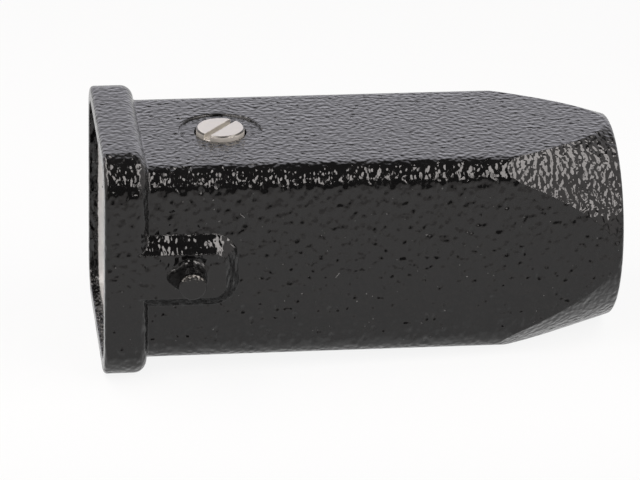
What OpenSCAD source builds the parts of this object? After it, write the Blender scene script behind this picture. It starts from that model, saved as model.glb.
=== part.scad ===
// Hood of a heavy-duty rectangular connector, with a straight cable entry.
// It lies on its side: the mouth looks along -X and the cable leaves along +X.
// The origin is the middle of the mouth plane. The pegs point along Y and the screw along +Z.

/* [Body] */
// Width and height of the square body
body_side = 26; // [24:0.1:32]
// Radius of the body's long corners
body_corner_r = 3; // [1:0.1:5]
// Length from the mouth to the cable end
hood_length = 65.4; // [62:0.1:90]
// Thickness of the body's walls around the insert
wall = 2.4; // [2:0.1:3]

/* [Cable end] */
// Distance of the round end face inside the body's flats
end_inset = 0.2; // [0.1:0.1:1]
// Half angle of the cone that trims the body's corners, in degrees
end_cone_angle = 16; // [12:0.5:30]
// Rounding of the end face's outer edge
end_edge_r = 0.5; // [0.2:0.1:1]

/* [Mouth flange] */
// Overhang of the flange over the body, the same all round
flange_lip = 1.95; // [1.6:0.05:3]
// Length of the flange along the hood
flange_t = 5.4; // [4.8:0.1:8]
// Rounding of the flange's outer edge on the body side
flange_back_r = 1.6; // [0.6:0.1:2]
// Fillet between the flange and the body
flange_fillet_r = 0.35; // [0.1:0.05:0.6]
// Rounding of the rim's outer edge at the mouth
rim_edge_r = 0.5; // [0.2:0.1:0.8]

/* [Mouth socket] */
// Wall of the rim around the socket
rim_wall = 1.9; // [1.4:0.1:2.4]
// Depth of the socket that takes the mating collar
socket_depth = 3.6; // [2:0.1:4.2]

/* [Insert cavity] */
// Corner radius of the cavity that takes the contact insert
cavity_corner_r = 1.5; // [0.6:0.1:2.5]
// Distance of the insert's stop shoulder from the mouth
stop_depth = 30; // [24:0.5:38]
// Height of the stop shoulder on each side
stop_step = 0.7; // [0.3:0.1:1.2]

/* [Cable thread] */
// Radius of the cable bore at the roots of its thread
thread_r = 10; // [8:0.1:10.4]
// Length of the threaded bore
thread_length = 11; // [7:0.5:14]
// Step from the roots of the thread to the passage behind it
thread_step = 0.8; // [0.4:0.1:1.2]
// Chamfer at the outer end of the thread
thread_chamfer = 0.7; // [0.3:0.1:1]
// Half angle of the cone from the square passage to the thread, in degrees
passage_cone_angle = 22; // [15:1:35]

/* [Peg pads] */
// Half height of a pad's flat top
pad_top_half = 3; // [2.7:0.1:4]
// Half height of a pad where it meets the body
pad_root_half = 4.85; // [4.2:0.05:6]
// Reach of a pad from the mouth where it meets the body
pad_reach = 16.85; // [15.5:0.05:21]
// Corner radius of a pad's end where it meets the body
pad_corner_r = 3.45; // [3.1:0.05:4.2]

/* [Locking pegs] */
// Distance of the pegs from the mouth
peg_x = 10.6; // [9.5:0.1:12]
// Radius of a peg at its straight end
peg_r = 1.7; // [1.2:0.05:1.9]
// Radius of a peg where its flare meets the pad
peg_root_r = 2.05; // [1.95:0.05:2.4]
// Fillet between a peg and its pad
peg_fillet_r = 0.6; // [0.2:0.05:0.7]
// Height of a peg over its pad
peg_height = 3.3; // [2.4:0.05:4.5]
// Length of a peg's straight end
peg_straight = 0.9; // [0.6:0.1:1.5]
// Edge rounding of a peg's tip
peg_tip_r = 0.25; // [0.05:0.05:0.4]
// Reach of the ramp in front of a peg, from the peg's axis
ramp_reach = 3; // [2.6:0.1:4]
// Radius of the ramp's blunt nose
ramp_nose_r = 1.05; // [0.6:0.05:1.3]
// Radius of the ramp's upper end, where the peg's straight end begins
ramp_top_r = 1.2; // [0.4:0.05:1.2]

/* [Fixing screw] */
// Distance of the screw from the mouth
screw_x = 15.6; // [13:0.1:20]
// Radius of the screw's head
head_r = 3.05; // [2.6:0.05:3.6]
// Height of the screw's head
head_h = 1.3; // [1:0.05:1.8]
// Chamfer of the head's upper edge
head_chamfer = 0.18; // [0.05:0.01:0.3]
// Radius of the screw's thread
shank_r = 1.5; // [1.2:0.05:2]
// Length of the screw below its head
shank_length = 7; // [5:0.1:12]
// Chamfer at the screw's point
point_chamfer = 0.4; // [0.1:0.05:0.6]
// Width of the driver slot
slot_w = 0.9; // [0.6:0.05:1.2]
// Depth of the driver slot
slot_depth = 0.7; // [0.4:0.05:0.9]
// Turn of the slot from the hood's length, in degrees
slot_turn = 51; // [0:1:180]

/* [Screw seat] */
// Radius of the shallow spot face around the head
spot_r = 5.3; // [4.4:0.1:6.5]
// Depth of the spot face below the body's face
spot_depth = 0.14; // [0.1:0.01:0.4]
// Thickness of the wall left under the counterbore
seat_floor = 0.9; // [0.6:0.05:1.2]
// Gap around the screw's head in the counterbore
head_gap = 0.25; // [0.1:0.05:0.4]
// Gap around the screw's thread in its hole
shank_gap = 0.2; // [0.1:0.05:0.4]
// Thickness of the squeezed sealing ring under the head
seal_t = 0.7; // [0.4:0.05:0.8]
// Width of the sealing ring's section
seal_w = 1.3; // [0.9:0.05:1.4]
// Gap between the sealing ring and the thread that it grips
seal_gap = 0.05; // [0.02:0.01:0.1]

/* [Hidden] */

$fn = 96;
hull_fn = 48;
eps = 0.02;
cone_margin = 1;

half_side = body_side / 2;
flange_side = body_side + 2 * flange_lip;
flange_corner_r = body_corner_r + flange_lip;
socket_side = flange_side - 2 * rim_wall;
pad_face = flange_side / 2;

// The cone starts where it clears the body's rounded corners
end_r = half_side - end_inset;
corner_reach = half_side * sqrt(2) - body_corner_r * (sqrt(2) - 1);
cone_r = corner_reach + cone_margin;
cone_start = hood_length - (cone_r - end_r) / tan(end_cone_angle);

// Centre of the round that joins the cone to the end face
end_round_r = end_r + end_edge_r * tan(end_cone_angle) - end_edge_r / cos(end_cone_angle);
end_round_x = hood_length - end_edge_r;

cavity_side = body_side - 2 * wall;
passage_side = cavity_side - 2 * stop_step;
passage_r = thread_r - thread_step;
passage_cone_r = passage_side;
thread_start = hood_length - thread_length;
passage_cone_start = thread_start - (passage_cone_r - passage_r) / tan(passage_cone_angle);

spot_z = half_side - spot_depth;
seat_z = half_side - wall + seat_floor;
head_z = seat_z + seal_t;

// Stands a shape drawn in XY and raised along Z so that it runs along +X
module along_x() {
    rotate([90, 0, 90]) children();
}

// Stands a shape drawn in XY and raised along Z so that it runs along +Y or -Y
module along_y(side) {
    rotate([-90 * side, 0, 0]) children();
}

module rounded_square(side, r) {
    inner = side - 2 * r;
    square([inner, side], center = true);
    square([side, inner], center = true);
    for (sx = [-1, 1], sy = [-1, 1]) translate([sx, sy] * inner / 2) circle(r);
}

// Bar along X with a rounded square section
module rounded_bar(side, r, start, end) {
    translate([start, 0, 0]) along_x() linear_extrude(end - start) rounded_square(side, r);
}

// What a round of radius r takes off a square corner that points along +X and -Y
module corner_waste(r) {
    difference() {
        translate([-r, -eps]) square([r + eps, r + eps]);
        translate([-r, r]) circle(r);
    }
}

// Half section of the flange: its reach across and its thickness upward.
// Its two edges are rounded, and a fillet runs out on the body behind it.
module flange_section(reach) {
    fillet_x = reach - flange_lip + flange_fillet_r;
    fillet_y = flange_t + flange_fillet_r;
    difference() {
        square([reach, flange_t]);
        translate([reach, 0]) corner_waste(rim_edge_r);
        translate([reach, flange_t]) mirror([0, 1]) corner_waste(flange_back_r);
    }
    difference() {
        square([fillet_x, fillet_y]);
        translate([fillet_x, fillet_y]) circle(flange_fillet_r);
    }
}

// Straight run of the flange, rounded along both of its sides
module flange_run(reach, run) {
    linear_extrude(run, center = true)
        for (side = [0, 1]) mirror([side, 0]) flange_section(reach);
}

module flange() {
    run = body_side - 2 * body_corner_r;
    rotate([-90, -90, 0]) flange_run(flange_side / 2, run);
    rotate([180, 0, 90]) flange_run(flange_side / 2, run);
    for (sy = [-1, 1], sz = [-1, 1])
        translate([0, sy * run / 2, sz * run / 2])
            along_x() rotate_extrude() flange_section(flange_corner_r);
}

// Square bar whose corners run out on a cone towards the round cable end
module body() {
    intersection() {
        rounded_bar(body_side, body_corner_r, 0, hood_length);
        along_x() rotate_extrude() {
            polygon([
                [0, -eps],
                [cone_r, -eps],
                [cone_r, cone_start],
                [end_round_r + end_edge_r * cos(end_cone_angle),
                    end_round_x + end_edge_r * sin(end_cone_angle)],
                [end_round_r, hood_length],
                [0, hood_length]
            ]);
            translate([end_round_r, end_round_x]) circle(end_edge_r);
        }
    }
}

// Raised pad from the flange to its rounded end; all its sides slope alike
module pad(side) {
    slope = pad_root_half - pad_top_half;
    corner_x = pad_reach - pad_corner_r;
    corner_y = pad_root_half - pad_corner_r;
    front_x = flange_t / 2;
    sunk = wall / 2;
    along_y(side) hull() {
        for (up = [-1, 1]) translate([corner_x, up * corner_y, half_side]) {
            cylinder(flange_lip, pad_corner_r, pad_corner_r - slope, $fn = hull_fn);
            translate([0, 0, -sunk]) cylinder(sunk, r = pad_corner_r, $fn = hull_fn);
        }
        translate([front_x, -pad_root_half, half_side - sunk]) cube([eps, 2 * pad_root_half, sunk]);
        translate([front_x, -pad_top_half, pad_face - eps]) cube([eps, 2 * pad_top_half, eps]);
    }
}

// Locking peg: straight at its tip, flared and filleted at its root, with a ramp towards the mouth
module peg(side) {
    sunk = flange_lip / 2;
    flare_end = peg_height - peg_straight;
    flare_angle = atan((peg_root_r - peg_r) / flare_end);
    fillet_x = peg_root_r - peg_fillet_r * tan(flare_angle) + peg_fillet_r / cos(flare_angle);
    nose_x = ramp_nose_r - ramp_reach;
    translate([peg_x, 0, 0]) along_y(side) translate([0, 0, pad_face]) {
        rotate_extrude() difference() {
            polygon([
                [0, -sunk],
                [fillet_x, -sunk],
                [fillet_x, 0],
                [fillet_x - peg_fillet_r * cos(flare_angle), peg_fillet_r * (1 - sin(flare_angle))],
                [peg_r, flare_end],
                [peg_r, peg_height],
                [0, peg_height]
            ]);
            translate([fillet_x, peg_fillet_r]) circle(peg_fillet_r);
            translate([peg_r, peg_height]) mirror([0, 1]) corner_waste(peg_tip_r);
        }
        hull() {
            translate([nose_x, 0, -sunk]) cylinder(sunk, r = ramp_nose_r, $fn = hull_fn);
            translate([0, 0, -sunk]) cylinder(sunk, r = peg_r, $fn = hull_fn);
            translate([ramp_top_r - peg_r, 0, flare_end - eps]) cylinder(eps, r = ramp_top_r, $fn = hull_fn);
        }
    }
}

// Everything inside: mouth socket, insert cavity, cable passage and threaded bore
module hollow() {
    rounded_bar(socket_side, flange_corner_r - rim_wall, -eps, socket_depth);
    rounded_bar(cavity_side, cavity_corner_r, 0, stop_depth);
    intersection() {
        rounded_bar(passage_side, cavity_corner_r, 0, hood_length + eps);
        along_x() rotate_extrude() polygon([
            [0, 0],
            [passage_cone_r, 0],
            [passage_cone_r, passage_cone_start],
            [passage_r, thread_start],
            [passage_r, hood_length + eps],
            [0, hood_length + eps]
        ]);
    }
    along_x() rotate_extrude() polygon([
        [0, thread_start],
        [thread_r, thread_start],
        [thread_r, hood_length - thread_chamfer],
        [thread_r + thread_chamfer + eps, hood_length + eps],
        [0, hood_length + eps]
    ]);
}

// Stepped hole for the fixing screw: spot face, counterbore and clearance hole
module screw_hole() {
    translate([screw_x, 0, 0]) {
        translate([0, 0, spot_z]) cylinder(spot_depth + eps, r = spot_r);
        translate([0, 0, seat_z]) cylinder(half_side - seat_z + eps, r = head_r + head_gap);
        cylinder(half_side, r = shank_r + shank_gap);
    }
}

module hood() {
    color("#1b1b1d") difference() {
        union() {
            body();
            flange();
            for (side = [-1, 1]) {
                pad(side);
                peg(side);
            }
        }
        hollow();
        screw_hole();
    }
}

module fixing_screw() {
    color("#d2cdc4") translate([screw_x, 0, head_z]) difference() {
        rotate_extrude() polygon([
            [0, -shank_length],
            [shank_r - point_chamfer, -shank_length],
            [shank_r, point_chamfer - shank_length],
            [shank_r, 0],
            [head_r, 0],
            [head_r, head_h - head_chamfer],
            [head_r - head_chamfer, head_h],
            [0, head_h]
        ]);
        rotate([0, 0, slot_turn]) translate([-head_r - eps, -slot_w / 2, head_h - slot_depth])
            cube([2 * (head_r + eps), slot_w, slot_depth + eps]);
    }
}

// Squeezed ring: flat where the head and the seat press on it, round at its rims
module screw_seal() {
    round_r = seal_t / 2;
    inner_r = shank_r + seal_gap;
    color("#202022") translate([screw_x, 0, seat_z]) rotate_extrude() {
        translate([inner_r + round_r, 0]) square([seal_w - seal_t, seal_t]);
        for (r = [inner_r + round_r, inner_r + seal_w - round_r]) translate([r, round_r]) circle(round_r);
    }
}

hood();
fixing_screw();
screw_seal();
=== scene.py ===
"""Looks of the connector hood: its hammered coat, bare inside, threads and screw, in a small studio."""
import math

import bmesh
import bpy
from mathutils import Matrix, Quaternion, Vector


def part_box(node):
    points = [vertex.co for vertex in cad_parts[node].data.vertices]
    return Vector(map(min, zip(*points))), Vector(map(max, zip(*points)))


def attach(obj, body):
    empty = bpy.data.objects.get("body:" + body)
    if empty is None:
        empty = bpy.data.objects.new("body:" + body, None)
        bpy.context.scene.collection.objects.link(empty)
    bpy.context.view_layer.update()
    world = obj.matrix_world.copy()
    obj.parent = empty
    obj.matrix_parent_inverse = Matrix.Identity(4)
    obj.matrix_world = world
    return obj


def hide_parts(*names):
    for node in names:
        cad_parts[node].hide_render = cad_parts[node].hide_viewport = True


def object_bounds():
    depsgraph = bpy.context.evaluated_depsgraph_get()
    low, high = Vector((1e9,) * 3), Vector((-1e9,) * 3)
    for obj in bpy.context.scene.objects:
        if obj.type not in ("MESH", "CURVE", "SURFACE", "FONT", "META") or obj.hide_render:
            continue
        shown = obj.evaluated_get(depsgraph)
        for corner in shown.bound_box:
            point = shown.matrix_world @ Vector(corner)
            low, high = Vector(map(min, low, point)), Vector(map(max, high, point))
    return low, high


MM = 0.001
UP = Vector((0.0, 0.0, 1.0))

# Factors that drop one axis of a position
ACROSS_X = (0.0, 1.0, 1.0)
ACROSS_Y = (1.0, 0.0, 1.0)
ACROSS_Z = (1.0, 1.0, 0.0)

# Camera, in millimetres and degrees: fitted to the photo's outline
CAMERA_POS = Vector((-32.6, -466.4, 216.9))
CAMERA_AIM = Vector((28.575, 0.0, -2.58))
CAMERA_ROLL = 1.41
CAMERA_LENS = 228.75
CAMERA_SENSOR = 36.0
# Nearest and farthest distance that the camera sees, in metres
CAMERA_CLIP = (0.01, 20.0)

# Two points of the floor under the hood, in millimetres: the back of the flange's flat lower side, and
# near the cable end
REST_FLANGE_X = 3.8
REST_END_X = 64.7
REST_END_Z = -13.0

# Floor, in metres, with its depth counted from the hood's axis
FLOOR_SIZE = 8.0
FLOOR_ALBEDO = 0.74
# Painted shade: the paper is darker in front of the hood, mostly as mirrors show it
FLOOR_FRONT_PAINTED_SHADE = 0.27
# Where the floor turns from the painted shade of its front to pale
FLOOR_SHADE_Y = (-0.125, 0.005)
# Share of white glow in what the camera sees, and in what a gloss or glass shows
FLOOR_GLOW_SEEN = 0.88
FLOOR_GLOW_MIRRORED = 0.9
# Strength of the mirrored glow in front of the hood and under it, and where it changes
FLOOR_GLOW_STRENGTH = (0.52, 0.82)
FLOOR_UNDER_Y = (-0.022, -0.012)

# Room round the floor, in radiance; the spans are parts of a direction of length 1
BACKDROP_RADIANCE = 1.15
BACKDROP_TINT = (0.98, 0.965, 1.04, 1.0)
BACKDROP_SPAN_Y = (0.3, 0.9)
BACKDROP_SPAN_Z = (0.84, 0.55)
WALL_RADIANCE = 0.66
WALL_TINT = (1.03, 0.98, 0.96, 1.0)
WALL_SPAN_X = (0.42, 0.6)
DARK_RADIANCE = 0.044

# Overhead panels, in metres from the hood's middle: their reach across and along
PANELS = {
    "left": ((-0.152, -0.06), (-0.29, 0.13)),
    "right": ((0.07, 0.166), (-0.39, 0.03)),
    "far_right": ((0.21, 0.34), (-0.46, -0.24)),
}
PANEL_HEIGHT = 0.195
PANEL_RADIANCE = 5.05
PANEL_TINT = (1.045, 0.99, 0.965)

# Noise: how much fine detail it has, and the span that most of its values lie in
SOFT = 0.5
DETAILED = 2.0
VERY_DETAILED = 3.0
NOISE_SPAN = (0.3, 0.7)
BEVEL_SAMPLES = 6

# Bare inside of the hood, in millimetres
COAT_END = 1.15
COAT_END_SOFT = 0.08
COAT_END_RAGGED = 0.2
COAT_END_RAGGED_SIZE = 0.8
MOUTH_STEP = 4.5
SOCKET_FLAT = 10.0
SOCKET_ROUND = 3.25
CAVITY_HALF = 11.0
END_START = 54.0
BORE_R = 10.75
MOUTH_COLORS = ((0.94, 0.935, 0.925, 1.0), (0.98, 0.975, 0.965, 1.0))
# Painted shade: the bare metal of the socket's lower wall darkens to this colour between the two heights
# below
LOW_WALL_PAINTED_SHADE = (0.6, 0.595, 0.585, 1.0)
LOW_WALL_SHADE_Z = (-10.5, -12.0)
DEEP_COLORS = ((0.36, 0.355, 0.345, 1.0), (0.5, 0.495, 0.48, 1.0))
DEEP_X = (MOUTH_STEP - 0.2, MOUTH_STEP + 0.6)
CAST_SIZE = 0.35
CAST_HEIGHT = 0.03
# Roughness that bare metal adds to the coat's, and that the deep inside adds to that
BARE_ROUGHER = 0.52
DEEP_ROUGHER = -0.22

# Hammered coat, in millimetres
COAT_COLORS = ((0.0022, 0.0022, 0.0025, 1.0), (0.0056, 0.0056, 0.0056, 1.0))
COAT_ROUGHNESS = (0.06, 0.13)
COAT_IOR = 1.6
MOTTLE_SIZE = 2.5
EDGE_ROUND = 0.2
# Waves of the coat, drawn out along the height because it ran down
RUN_STRETCH = 1.45
PEEL_SIZE = 0.6
PEEL_HEIGHT = 0.18
# The waves grow from the first share of their height near the mouth to the second
PEEL_SHARE = (0.84, 1.04)
PEEL_SHARE_X = (2.0, 7.0)
# Broader waves on the flat peg sides, told by how far a face looks along Y
SIDE_FACING = (0.88, 0.97)
SIDE_PEEL_SIZE = 0.75
SIDE_PEEL_HEIGHT = 0.33
# Broader waves on the pads' slopes
PAD_FROM_X = 5.9
PAD_FROM_Y = 13.05
PAD_PEEL_SIZE = 0.78
PAD_PEEL_HEIGHT = 0.27
# Share of the waves that is left on the pads' lower half and on the pegs
PAD_CALM = 0.4
PAD_CALM_X = (5.4, 8.0)
PAD_CALM_Z = (-1.0, 2.0)
PEG_CALM = 0.3
PEG_CALM_Y = (14.95, 15.3)
# Smooth edge of the spot face round the screw: how far it reaches either way, and where along Y it ends
SPOT_X = 15.6
SPOT_R = 5.3
SPOT_CALM_REACH = 0.35
SPOT_CALM_Y = (3.6, 1.8)
TOP_FROM_Z = 12.0
# Pits, one in each cell whose chance is high
PIT_CELL = 1.1
PIT_R = 0.48
PIT_DEPTH = 0.1
PIT_CHANCE = (0.3, 0.75)
PIT_ROUGHER = 0.3

# Dust and scratches on the coat, in millimetres; a scratch runs between two points in X and Z
DUST_SIZE = 0.33
DUST_LEVEL = (0.865, 0.88)
DUST_COLOR = (0.12, 0.12, 0.12, 1.0)
SCRATCHES = (((16.9, 7.4), (17.4, 6.9)), ((15.7, 3.5), (16.2, 3.0)), ((29.0, -1.7), (29.4, -1.1)))
SCRATCH_FACE_Y = -12.8
SCRATCH_WIDTH = 0.07
SCRATCH_COLOR = (0.2, 0.2, 0.2, 1.0)

# Worn coat on a peg's tip, in millimetres: what lies outside a circle whose middle is below the peg's
PEG_X = 10.6
WORN_FROM_Y = 17.95
WORN_FROM_Z = 0.3
WORN_R = 3.15
WORN_DROP = 2.0
WORN_SOFT = 0.05
WORN_RAGGED = 1.6
WORN_RAGGED_SIZE = 0.4
SCUFF_COLORS = ((0.04, 0.038, 0.036, 1.0), (0.36, 0.35, 0.33, 1.0))
SCUFF_SIZE = 0.22
SCUFF_LEVEL = (0.45, 0.66)

# Cable thread, in millimetres, steps to a turn and steps of run-out at each end
CABLE_PITCH = 1.5
CABLE_ROOT_R = 10.02
CABLE_CREST_R = 9.19
CABLE_ROOT_HALF = 0.62
CABLE_CREST_HALF = 0.19
CABLE_FROM_END = (1.0, 10.2)
CABLE_STEPS = 96
CABLE_RUN_OUT = 32
CABLE_COLORS = ((0.42, 0.415, 0.4, 1.0), (0.55, 0.545, 0.53, 1.0))
CABLE_ROUGHNESS = (0.26, 0.38)
CABLE_MOTTLE_SIZE = 1.5
CABLE_GRAIN_SIZE = 0.15
CABLE_GRAIN_HEIGHT = 0.01

# Screw's form, in millimetres and degrees
SCREW_HEAD_H = 1.3
SCREW_STUB = 0.02
SCREW_MERGE = 0.002
SCREW_PITCH = 0.5
SCREW_MAJOR_R = 1.5
SCREW_MINOR_R = 1.19
SCREW_POINT = 0.4
# Parts of half a turn: the flat root, and the flank that rises from it
SCREW_ROOT = 0.12
SCREW_FLANK = 0.7
SCREW_STEPS = 48
SCREW_ROWS_PER_TURN = 12
SMOOTH_ANGLE = 35.0

# Screw's nickel, in millimetres; the spans say how far a face looks up
SCREW_EDGE_ROUND = 0.15
SCREW_RIM_R = 2.9
NICKEL_COLORS = ((0.585, 0.562, 0.522, 1.0), (0.7, 0.677, 0.632, 1.0))
NICKEL_ROUGHNESS = (0.42, 0.52)
STAIN_SIZE = 0.9
TURNING_PITCH = 0.14
TURNING_HEIGHT = 0.0012
NICKEL_GRAIN_SIZE = 0.1
NICKEL_GRAIN_HEIGHT = 0.004
# Painted sheen: the head's side is paler than the nickel, for light it seems to catch; the side is also
# rougher
HEAD_SIDE_PAINTED_SHEEN = (0.86, 0.83, 0.78, 1.0)
HEAD_SHEEN_FACING = (0.7, 0.3)
HEAD_SIDE_ROUGHER = 0.2
# Painted reflection: a dark band on the head's chamfer, where it mirrors the dark room; the chamfer is
# also less rough
CHAMFER_PAINTED_REFLECTION = (0.13, 0.125, 0.115, 1.0)
CHAMFER_WIDTH = 0.1
CHAMFER_REFLECTION_FACING_FROM = (0.5, 0.6)
CHAMFER_REFLECTION_FACING_TO = (0.9, 0.8)
CHAMFER_ROUGHER = -0.15

# Seal's rubber, in millimetres
RUBBER_COLORS = ((0.014, 0.014, 0.014, 1.0), (0.035, 0.034, 0.033, 1.0))
RUBBER_ROUGHNESS = (0.55, 0.8)
RUBBER_DUST_SIZE = 0.6
RUBBER_GRAIN_SIZE = 0.12
RUBBER_GRAIN_HEIGHT = 0.012


def new_material(name):
    """An empty node material and its tree."""
    material = bpy.data.materials.new(name)
    material.use_nodes = True
    material.node_tree.nodes.clear()
    return material, material.node_tree


def add(tree, kind, inputs=None, **settings):
    """A node with its settings and inputs; an input is a value or another node's output."""
    node = tree.nodes.new(kind)
    for key, value in settings.items():
        setattr(node, key, value)
    for key, value in (inputs or {}).items():
        if isinstance(value, bpy.types.NodeSocket):
            tree.links.new(value, node.inputs[key])
        else:
            node.inputs[key].default_value = value
    return node


def calc(tree, operation, a, b=0.0):
    return add(tree, "ShaderNodeMath", {0: a, 1: b}, operation=operation).outputs[0]


def calc_vector(tree, operation, a, b=(0.0, 0.0, 0.0)):
    node = add(tree, "ShaderNodeVectorMath", {0: a, 1: b}, operation=operation)
    return node.outputs["Value" if operation in ("LENGTH", "DOT_PRODUCT") else "Vector"]


def total(tree, first, *others):
    for other in others:
        first = calc(tree, "ADD", first, other)
    return first


def product(tree, first, *others):
    for other in others:
        first = calc(tree, "MULTIPLY", first, other)
    return first


def rest_of(tree, share):
    """What a share leaves of 1."""
    return calc(tree, "SUBTRACT", 1.0, share)


def under(tree, value, limit):
    return calc(tree, "LESS_THAN", value, limit)


def over(tree, value, limit):
    return calc(tree, "GREATER_THAN", value, limit)


def ramp(tree, value, start, end, low=0.0, high=1.0):
    """Smooth step of a value from low at start to high at end."""
    flip = start > end
    return add(tree, "ShaderNodeMapRange", {
        "Value": value, "From Min": min(start, end), "From Max": max(start, end),
        "To Min": high if flip else low, "To Max": low if flip else high},
        interpolation_type="SMOOTHSTEP").outputs["Result"]


def axes_of(tree, vector):
    return add(tree, "ShaderNodeSeparateXYZ", {0: vector}).outputs


def mix_color(tree, share, first, second):
    node = add(tree, "ShaderNodeMix", {"Factor": share, "A": first, "B": second}, data_type="RGBA")
    return node.outputs["Result"]


def place_mm(tree):
    """Position on the part in millimetres."""
    place = add(tree, "ShaderNodeTexCoord").outputs["Object"]
    return calc_vector(tree, "MULTIPLY", place, (1 / MM,) * 3)


def facing_axes(tree):
    """Direction that a face looks in, by axis, without its relief."""
    return axes_of(tree, add(tree, "ShaderNodeNewGeometry").outputs["True Normal"])


def noise(tree, place, size, detail=0.0):
    return add(tree, "ShaderNodeTexNoise", {
        "Vector": place, "Scale": 1 / size, "Detail": detail}).outputs["Fac"]


def ragged(tree, value, place, size, detail, reach):
    """A value shaken by noise, by up to half of the reach either way."""
    shake = product(tree, noise(tree, place, size, detail), reach)
    return total(tree, value, shake, -reach / 2)


def soft_edges(tree, radius):
    """Normal that looks rounded at edges, by a radius in millimetres."""
    return add(tree, "ShaderNodeBevel", {"Radius": radius * MM}, samples=BEVEL_SAMPLES).outputs["Normal"]


def bump(tree, height, normal=None):
    """Normal of a surface raised by a height in millimetres."""
    inputs = {"Height": height, "Distance": MM, "Strength": 1.0}
    if normal:
        inputs["Normal"] = normal
    return add(tree, "ShaderNodeBump", inputs).outputs["Normal"]


def finish_material(tree, inputs):
    shader = add(tree, "ShaderNodeBsdfPrincipled", inputs)
    add(tree, "ShaderNodeOutputMaterial", {"Surface": shader.outputs["BSDF"]})


def bare_share(tree, place):
    """1 on the bare metal inside the hood and 0 on the coat."""
    along = axes_of(tree, place)["X"]
    section = calc_vector(tree, "ABSOLUTE", calc_vector(tree, "MULTIPLY", place, ACROSS_X))
    corner = calc_vector(tree, "SUBTRACT", section, (0.0, SOCKET_FLAT, SOCKET_FLAT))
    corner = calc_vector(tree, "MAXIMUM", corner)
    sides = axes_of(tree, section)
    across = calc(tree, "MAXIMUM", sides["Y"], sides["Z"])
    in_mouth = product(
        tree, under(tree, calc_vector(tree, "LENGTH", corner), SOCKET_ROUND),
        under(tree, along, MOUTH_STEP))
    in_cavity = product(
        tree, under(tree, across, CAVITY_HALF), over(tree, along, MOUTH_STEP),
        under(tree, along, END_START))
    in_bore = product(
        tree, under(tree, calc_vector(tree, "LENGTH", section), BORE_R), over(tree, along, END_START))
    from_rim = ragged(tree, along, place, COAT_END_RAGGED_SIZE, DETAILED, COAT_END_RAGGED)
    past_coat = ramp(tree, from_rim, COAT_END - COAT_END_SOFT, COAT_END + COAT_END_SOFT)
    return product(tree, total(tree, in_mouth, in_cavity, in_bore), past_coat)


def worn_share(tree, place):
    """1 where the coat is rubbed off: a ragged crescent on the upper rim of each peg's tip."""
    axes = axes_of(tree, place)
    offset = calc_vector(tree, "SUBTRACT", place, (PEG_X, 0.0, -WORN_DROP))
    across = calc_vector(tree, "LENGTH", calc_vector(tree, "MULTIPLY", offset, ACROSS_Y))
    across = ragged(tree, across, place, WORN_RAGGED_SIZE, VERY_DETAILED, WORN_RAGGED)
    return product(
        tree, ramp(tree, across, WORN_R - WORN_SOFT, WORN_R + WORN_SOFT),
        over(tree, calc(tree, "ABSOLUTE", axes["Y"]), WORN_FROM_Y), over(tree, axes["Z"], WORN_FROM_Z))


def scratch_share(tree, place):
    """1 on the few fine scratches in the face on one peg side."""
    share = 0.0
    for (start_x, start_z), (end_x, end_z) in SCRATCHES:
        line = Vector((end_x - start_x, 0.0, end_z - start_z))
        offset = calc_vector(tree, "SUBTRACT", place, (start_x, 0.0, start_z))
        offset = calc_vector(tree, "MULTIPLY", offset, ACROSS_Y)
        along = calc_vector(tree, "DOT_PRODUCT", offset, tuple(line / line.length_squared))
        along = calc(tree, "MAXIMUM", calc(tree, "MINIMUM", along, 1.0))
        away = calc_vector(tree, "SUBTRACT", offset, calc_vector(tree, "MULTIPLY", along, tuple(line)))
        share = total(tree, share, ramp(tree, calc_vector(tree, "LENGTH", away), SCRATCH_WIDTH, 0.0))
    return product(tree, share, under(tree, axes_of(tree, place)["Y"], SCRATCH_FACE_Y))


def pit_share(tree, place):
    """1 in the middle of a pit in the coat and 0 between pits; only some of the cells have one."""
    cells = add(tree, "ShaderNodeTexVoronoi", {"Vector": place, "Scale": 1 / PIT_CELL}).outputs
    chance = add(tree, "ShaderNodeSeparateColor", {0: cells["Color"]}).outputs["Red"]
    return product(
        tree, ramp(tree, cells["Distance"], PIT_R / PIT_CELL, 0.0), ramp(tree, chance, *PIT_CHANCE))


def coat_relief(tree, place, pits):
    """Height of the coat in millimetres: soft waves, broader on the pads and the peg sides, and pits."""
    axes = axes_of(tree, place)
    from_middle = calc(tree, "ABSOLUTE", axes["Y"])
    on_pad = product(tree, over(tree, from_middle, PAD_FROM_Y), over(tree, axes["X"], PAD_FROM_X))
    on_side = ramp(tree, calc(tree, "ABSOLUTE", facing_axes(tree)["Y"]), *SIDE_FACING)
    fine_peel = product(
        tree, noise(tree, place, PEEL_SIZE, SOFT), PEEL_HEIGHT,
        ramp(tree, axes["X"], *PEEL_SHARE_X, *PEEL_SHARE), rest_of(tree, on_pad))
    pad_peel = product(tree, noise(tree, place, PAD_PEEL_SIZE, SOFT), PAD_PEEL_HEIGHT, on_pad)
    peel = product(tree, total(tree, fine_peel, pad_peel), rest_of(tree, on_side))
    side_peel = product(tree, noise(tree, place, SIDE_PEEL_SIZE, SOFT), SIDE_PEEL_HEIGHT, on_side)
    return total(tree, peel, side_peel, product(tree, pits, -PIT_DEPTH))


def left_at_spot_face(tree, place):
    """Share of the relief that is left: none on the far edge of the spot face round the screw."""
    axes = axes_of(tree, place)
    offset = calc_vector(tree, "SUBTRACT", place, (SPOT_X, 0.0, 0.0))
    from_screw = calc_vector(tree, "LENGTH", calc_vector(tree, "MULTIPLY", offset, ACROSS_Z))
    from_edge = calc(tree, "ABSOLUTE", calc(tree, "SUBTRACT", from_screw, SPOT_R))
    elsewhere = calc(
        tree, "MAXIMUM", ramp(tree, axes["Y"], *SPOT_CALM_Y), under(tree, axes["Z"], TOP_FROM_Z))
    return calc(tree, "MAXIMUM", ramp(tree, from_edge, 0.0, SPOT_CALM_REACH), elsewhere)


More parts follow.
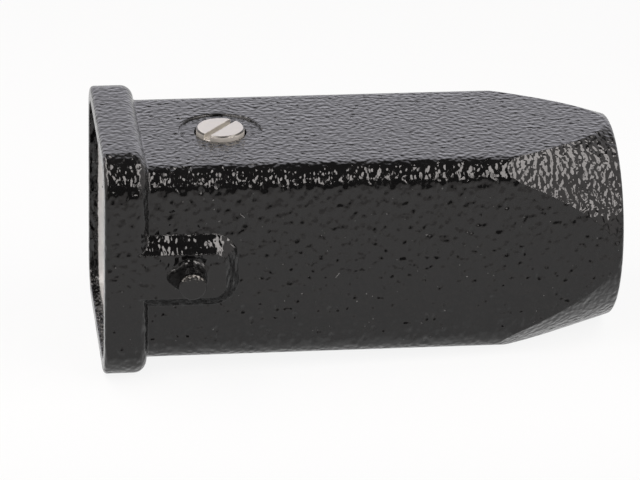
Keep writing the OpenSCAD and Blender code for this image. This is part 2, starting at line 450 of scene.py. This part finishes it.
def left_at_peg(tree, place):
    """Share of the relief that is left: less on the pegs and on the lower half of their pads."""
    axes = axes_of(tree, place)
    from_middle = calc(tree, "ABSOLUTE", axes["Y"])
    up_peg = ramp(tree, from_middle, *PEG_CALM_Y)
    on_pad = product(
        tree, over(tree, from_middle, PAD_FROM_Y), ramp(tree, axes["X"], *PAD_CALM_X),
        rest_of(tree, up_peg))
    left_on_pad = product(tree, ramp(tree, axes["Z"], *PAD_CALM_Z, PAD_CALM, 1.0), on_pad)
    return product(
        tree, total(tree, left_on_pad, rest_of(tree, on_pad)),
        ramp(tree, from_middle, *PEG_CALM_Y, 1.0, PEG_CALM))


def hood_color(tree, place, mottle, bare, deep, worn):
    """Black coat, or bare metal that is dull past the mouth and has painted shade on the socket's lower
    wall, with worn tips, dust and scratches.
    """
    coat = mix_color(tree, mottle, *COAT_COLORS)
    # Painted shade on the socket's lower wall
    low_wall_shade = ramp(tree, axes_of(tree, place)["Z"], *LOW_WALL_SHADE_Z)
    mouth = mix_color(tree, low_wall_shade, mix_color(tree, mottle, *MOUTH_COLORS), LOW_WALL_PAINTED_SHADE)
    metal = mix_color(tree, deep, mouth, mix_color(tree, mottle, *DEEP_COLORS))
    color = mix_color(tree, bare, coat, metal)
    scuff = ramp(tree, noise(tree, place, SCUFF_SIZE, DETAILED), *SCUFF_LEVEL)
    color = mix_color(tree, worn, color, mix_color(tree, scuff, *SCUFF_COLORS))
    dust = ramp(tree, noise(tree, place, DUST_SIZE), *DUST_LEVEL)
    color = mix_color(tree, dust, color, DUST_COLOR)
    return mix_color(tree, scratch_share(tree, place), color, SCRATCH_COLOR)


def hood_material():
    material, tree = new_material("hammered_black_coat")
    place = place_mm(tree)
    flow = calc_vector(tree, "MULTIPLY", place, (1.0, 1.0, 1 / RUN_STRETCH))
    mottle = noise(tree, place, MOTTLE_SIZE, VERY_DETAILED)
    pits = pit_share(tree, flow)
    bare = bare_share(tree, place)
    deep = ramp(tree, axes_of(tree, place)["X"], *DEEP_X)
    worn = worn_share(tree, place)
    metallic = total(tree, bare, worn)
    roughness = total(
        tree, ramp(tree, mottle, *NOISE_SPAN, *COAT_ROUGHNESS), product(tree, metallic, BARE_ROUGHER),
        product(tree, pits, PIT_ROUGHER), product(tree, bare, deep, DEEP_ROUGHER))
    relief = product(
        tree, coat_relief(tree, flow, pits), rest_of(tree, bare), left_at_peg(tree, place),
        left_at_spot_face(tree, place))
    cast_skin = product(tree, noise(tree, place, CAST_SIZE, DETAILED), CAST_HEIGHT, bare)
    finish_material(tree, {
        "Base Color": hood_color(tree, place, mottle, bare, deep, worn), "Metallic": metallic,
        "Roughness": roughness, "IOR": COAT_IOR,
        "Normal": bump(tree, total(tree, relief, cast_skin), soft_edges(tree, EDGE_ROUND))})
    return material


def cable_thread_material():
    material, tree = new_material("bare_casting_metal")
    place = place_mm(tree)
    mottle = noise(tree, place, CABLE_MOTTLE_SIZE, VERY_DETAILED)
    grain = product(tree, noise(tree, place, CABLE_GRAIN_SIZE, DETAILED), CABLE_GRAIN_HEIGHT)
    finish_material(tree, {
        "Base Color": mix_color(tree, mottle, *CABLE_COLORS), "Metallic": 1.0,
        "Roughness": ramp(tree, mottle, *NOISE_SPAN, *CABLE_ROUGHNESS), "Normal": bump(tree, grain)})
    return material


def nickel_material(middle):
    """Satin nickel with turning marks about its axis; the head has a painted sheen on its side and a
    painted dark reflection on its chamfer.
    """
    material, tree = new_material("satin_nickel")
    place = calc_vector(tree, "SUBTRACT", place_mm(tree), tuple(middle / MM))
    from_axis = calc_vector(tree, "LENGTH", calc_vector(tree, "MULTIPLY", place, ACROSS_Z))
    upright = calc(tree, "ABSOLUTE", facing_axes(tree)["Z"])
    # Painted sheen on the head's side
    side = product(tree, ramp(tree, upright, *HEAD_SHEEN_FACING), over(tree, from_axis, SCREW_RIM_R))
    # Painted dark reflection on the head's chamfer
    chamfer = product(
        tree, ramp(tree, upright, *CHAMFER_REFLECTION_FACING_FROM), ramp(tree, upright, *CHAMFER_REFLECTION_FACING_TO),
        over(tree, from_axis, SCREW_RIM_R - CHAMFER_WIDTH))
    stain = noise(tree, place, STAIN_SIZE, VERY_DETAILED)
    color = mix_color(tree, stain, *NICKEL_COLORS)
    color = mix_color(tree, side, color, HEAD_SIDE_PAINTED_SHEEN)
    color = mix_color(tree, chamfer, color, CHAMFER_PAINTED_REFLECTION)
    roughness = total(
        tree, ramp(tree, stain, *NOISE_SPAN, *NICKEL_ROUGHNESS), product(tree, side, HEAD_SIDE_ROUGHER),
        product(tree, chamfer, CHAMFER_ROUGHER))
    turned = calc(tree, "SINE", product(tree, from_axis, math.tau / TURNING_PITCH))
    grain = product(tree, noise(tree, place, NICKEL_GRAIN_SIZE, DETAILED), NICKEL_GRAIN_HEIGHT)
    relief = total(tree, product(tree, turned, TURNING_HEIGHT), grain)
    finish_material(tree, {
        "Base Color": color, "Metallic": 1.0, "Roughness": roughness,
        "Normal": bump(tree, relief, soft_edges(tree, SCREW_EDGE_ROUND))})
    return material


def rubber_material():
    material, tree = new_material("seal_rubber")
    place = place_mm(tree)
    dust = noise(tree, place, RUBBER_DUST_SIZE, VERY_DETAILED)
    grain = product(tree, noise(tree, place, RUBBER_GRAIN_SIZE, DETAILED), RUBBER_GRAIN_HEIGHT)
    finish_material(tree, {
        "Base Color": mix_color(tree, dust, *RUBBER_COLORS),
        "Roughness": ramp(tree, dust, *NOISE_SPAN, *RUBBER_ROUGHNESS), "Normal": bump(tree, grain)})
    return material


def dress(piece, material):
    piece.data.materials.clear()
    piece.data.materials.append(material)


def new_object(name, data):
    thing = bpy.data.objects.new(name, data)
    bpy.context.scene.collection.objects.link(thing)
    return thing


def make_cable_thread(end_x):
    """Helical ridge of the cable thread, which runs out into the bore at both ends."""
    start, stop = end_x - CABLE_FROM_END[1], end_x - CABLE_FROM_END[0]
    profile = [
        (-CABLE_ROOT_HALF, CABLE_ROOT_R), (-CABLE_CREST_HALF, CABLE_CREST_R),
        (CABLE_CREST_HALF, CABLE_CREST_R), (CABLE_ROOT_HALF, CABLE_ROOT_R)]
    sides = len(profile)
    steps = round((stop - start - 2 * CABLE_ROOT_HALF) / CABLE_PITCH * CABLE_STEPS)
    verts, faces = [], []
    for step in range(steps + 1):
        turn = math.tau * step / CABLE_STEPS
        middle = start + CABLE_ROOT_HALF + CABLE_PITCH * step / CABLE_STEPS
        rise = min(1.0, step / CABLE_RUN_OUT, (steps - step) / CABLE_RUN_OUT)
        for along, radius in profile:
            r = CABLE_ROOT_R - (CABLE_ROOT_R - radius) * rise
            verts.append(Vector((middle + along, r * math.cos(turn), r * math.sin(turn))) * MM)
    for step in range(steps):
        for corner in range(sides):
            a = sides * step + corner
            b = sides * step + (corner + 1) % sides
            faces.append((a, b, b + sides, a + sides))
    faces.append(tuple(reversed(range(sides))))
    faces.append(tuple(sides * steps + corner for corner in range(sides)))
    mesh = bpy.data.meshes.new("cable_thread")
    mesh.from_pydata(verts, [], faces)
    thread = new_object("cable_thread", mesh)
    dress(thread, cable_thread_material())
    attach(thread, "root")


def add_head(form, node, under_z):
    """Head of the frame's screw, cut off just below its underside and closed there."""
    form.from_mesh(node.data)
    bmesh.ops.remove_doubles(form, verts=form.verts, dist=SCREW_MERGE * MM)
    bmesh.ops.bisect_plane(
        form, geom=form.verts[:] + form.edges[:] + form.faces[:],
        plane_co=UP * (under_z - SCREW_STUB * MM), plane_no=UP, clear_inner=True)
    bmesh.ops.holes_fill(form, edges=[edge for edge in form.edges if edge.is_boundary])


def shank_radius(turns, height, length):
    """Radius of the screw's shank: a flat-topped ridge that ends in a neck above and a chamfer below."""
    slope = 1 - abs(2 * (turns % 1) - 1)
    ridge = min(1.0, max(0.0, (slope - SCREW_ROOT) / SCREW_FLANK))
    under_neck = min(1.0, (length - height) / SCREW_PITCH)
    radius = SCREW_MINOR_R + (SCREW_MAJOR_R - SCREW_MINOR_R) * ridge * under_neck
    return min(radius, SCREW_MAJOR_R - SCREW_POINT + height)


def add_shank(form, foot, length):
    """Shank with its thread, as rings of points from its foot up, closed at both ends."""
    rows = round(length / SCREW_PITCH * SCREW_ROWS_PER_TURN)
    rings = []
    for row in range(rows + 1):
        height = length * row / rows
        ring = []
        for step in range(SCREW_STEPS):
            share = step / SCREW_STEPS
            r = shank_radius(height / SCREW_PITCH - share, height, length)
            point = Vector((r * math.cos(math.tau * share), r * math.sin(math.tau * share), height))
            ring.append(form.verts.new(foot + point * MM))
        rings.append(ring)
    for below, above in zip(rings, rings[1:]):
        for step in range(SCREW_STEPS):
            after = (step + 1) % SCREW_STEPS
            form.faces.new((below[step], below[after], above[after], above[step]))
    form.faces.new(reversed(rings[0]))
    form.faces.new(rings[-1])


def make_screw(node, low, high):
    """Fixing screw with its thread: the head that the frame holds, on a shank with a helical ridge."""
    middle = (low + high) / 2
    under_z = high.z - SCREW_HEAD_H * MM
    form = bmesh.new()
    add_head(form, node, under_z)
    add_shank(form, Vector((middle.x, middle.y, low.z)), (under_z - low.z) / MM)
    mesh = bpy.data.meshes.new("threaded_screw")
    form.to_mesh(mesh)
    form.free()
    mesh.attributes.remove(mesh.attributes["custom_normal"])
    mesh.shade_smooth()
    mesh.set_sharp_from_angle(angle=math.radians(SMOOTH_ANGLE))
    screw = new_object("threaded_screw", mesh)
    dress(screw, nickel_material(middle))
    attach(screw, "root")
    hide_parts("fixing_screw")


def make_camera():
    data = bpy.data.cameras.new("camera")
    data.sensor_width = CAMERA_SENSOR
    data.lens = CAMERA_LENS
    data.clip_start, data.clip_end = CAMERA_CLIP
    camera = new_object("camera", data)
    camera.location = CAMERA_POS * MM
    look = (CAMERA_AIM - CAMERA_POS).to_track_quat("-Z", "Y")
    camera.rotation_mode = "QUATERNION"
    camera.rotation_quaternion = look @ Quaternion(UP, math.radians(CAMERA_ROLL))
    bpy.context.scene.camera = camera


def mirrored_ray(tree, path):
    """1 for what a gloss or glass shows."""
    return calc(tree, "MAXIMUM", path["Is Glossy Ray"], path["Is Transmission Ray"])


def floor_material():
    """Pale paper with painted shade in front of the hood, and a glow that the camera sees as white, and
    that dims to the front in a mirror.
    """
    material, tree = new_material("pale_floor")
    depth = axes_of(tree, add(tree, "ShaderNodeTexCoord").outputs["Object"])["Y"]
    path = add(tree, "ShaderNodeLightPath").outputs
    # Painted shade on the paper in front of the hood; mirrors there also see less glow
    pale = ramp(tree, depth, *FLOOR_SHADE_Y)
    front_shade_color = (FLOOR_FRONT_PAINTED_SHADE,) * 3 + (1.0,)
    color = mix_color(tree, pale, front_shade_color, (FLOOR_ALBEDO,) * 3 + (1.0,))
    paper = add(tree, "ShaderNodeBsdfDiffuse", {"Color": color}).outputs[0]
    mirrored_glow = ramp(tree, depth, *FLOOR_UNDER_Y, *FLOOR_GLOW_STRENGTH)
    strength = calc(tree, "MAXIMUM", path["Is Camera Ray"], mirrored_glow)
    glow = add(tree, "ShaderNodeEmission", {"Strength": strength}).outputs[0]
    share = calc(
        tree, "MAXIMUM", product(tree, path["Is Camera Ray"], FLOOR_GLOW_SEEN),
        product(tree, mirrored_ray(tree, path), pale, FLOOR_GLOW_MIRRORED))
    surface = add(tree, "ShaderNodeMixShader", {0: share, 1: paper, 2: glow}).outputs[0]
    add(tree, "ShaderNodeOutputMaterial", {"Surface": surface})
    return material


def make_floor(low_z):
    """Floor that touches the flange and, with a slight slope, the cable end."""
    bpy.ops.mesh.primitive_plane_add(size=FLOOR_SIZE, location=(REST_FLANGE_X * MM, 0, low_z))
    floor = bpy.context.object
    floor.name = "floor"
    rise = REST_END_Z - low_z / MM
    floor.rotation_euler = (0, -math.atan2(rise, REST_END_X - REST_FLANGE_X), 0)
    dress(floor, floor_material())


def make_sky():
    """Dark room with dim side walls, white to the camera; only gloss and glass show its backdrop."""
    world = bpy.data.worlds.new("studio")
    bpy.context.scene.world = world
    world.use_nodes = True
    tree = world.node_tree
    tree.nodes.clear()
    axes = axes_of(tree, add(tree, "ShaderNodeTexCoord").outputs["Generated"])
    path = add(tree, "ShaderNodeLightPath").outputs
    back = ramp(tree, axes["Y"], *BACKDROP_SPAN_Y)
    backdrop = product(
        tree, back, ramp(tree, axes["Z"], *BACKDROP_SPAN_Z), mirrored_ray(tree, path), BACKDROP_RADIANCE)
    walls = ramp(tree, calc(tree, "ABSOLUTE", axes["X"]), *WALL_SPAN_X, 0.0, WALL_RADIANCE)
    room = total(tree, calc(tree, "MAXIMUM", walls, backdrop), DARK_RADIANCE)
    strength = calc(tree, "MAXIMUM", room, path["Is Camera Ray"])
    tint = mix_color(tree, back, WALL_TINT, BACKDROP_TINT)
    background = add(tree, "ShaderNodeBackground", {"Color": tint, "Strength": strength})
    add(tree, "ShaderNodeOutputWorld", {"Surface": background.outputs[0]})


def make_panels(middle_x):
    """Bright panels overhead, one to the left and two to the right, with dark gaps between them."""
    for name, (across, along) in PANELS.items():
        width = across[1] - across[0]
        depth = along[1] - along[0]
        light = bpy.data.lights.new(f"panel_{name}", "AREA")
        light.shape = "RECTANGLE"
        light.size = width
        light.size_y = depth
        light.color = PANEL_TINT
        light.energy = PANEL_RADIANCE * math.pi * width * depth
        lamp = new_object(light.name, light)
        lamp.location = (middle_x + sum(across) / 2, sum(along) / 2, PANEL_HEIGHT)
        lamp.visible_camera = False


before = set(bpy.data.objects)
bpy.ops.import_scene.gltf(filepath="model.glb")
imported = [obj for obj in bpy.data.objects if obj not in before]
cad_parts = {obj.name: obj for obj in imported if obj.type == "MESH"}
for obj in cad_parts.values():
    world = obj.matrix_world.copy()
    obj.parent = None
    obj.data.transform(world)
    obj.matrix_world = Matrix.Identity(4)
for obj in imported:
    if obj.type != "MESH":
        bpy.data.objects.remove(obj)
cad_low, cad_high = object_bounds()
bpy.context.scene.view_settings.view_transform = "Standard"

hood_low, hood_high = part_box("hood")
screw_low, screw_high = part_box("fixing_screw")
make_camera()
make_floor(hood_low.z)
make_sky()
make_panels((cad_low.x + cad_high.x) / 2)

dress(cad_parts["hood"], hood_material())
dress(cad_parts["screw_seal"], rubber_material())
make_screw(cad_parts["fixing_screw"], screw_low, screw_high)
make_cable_thread(hood_high.x / MM)
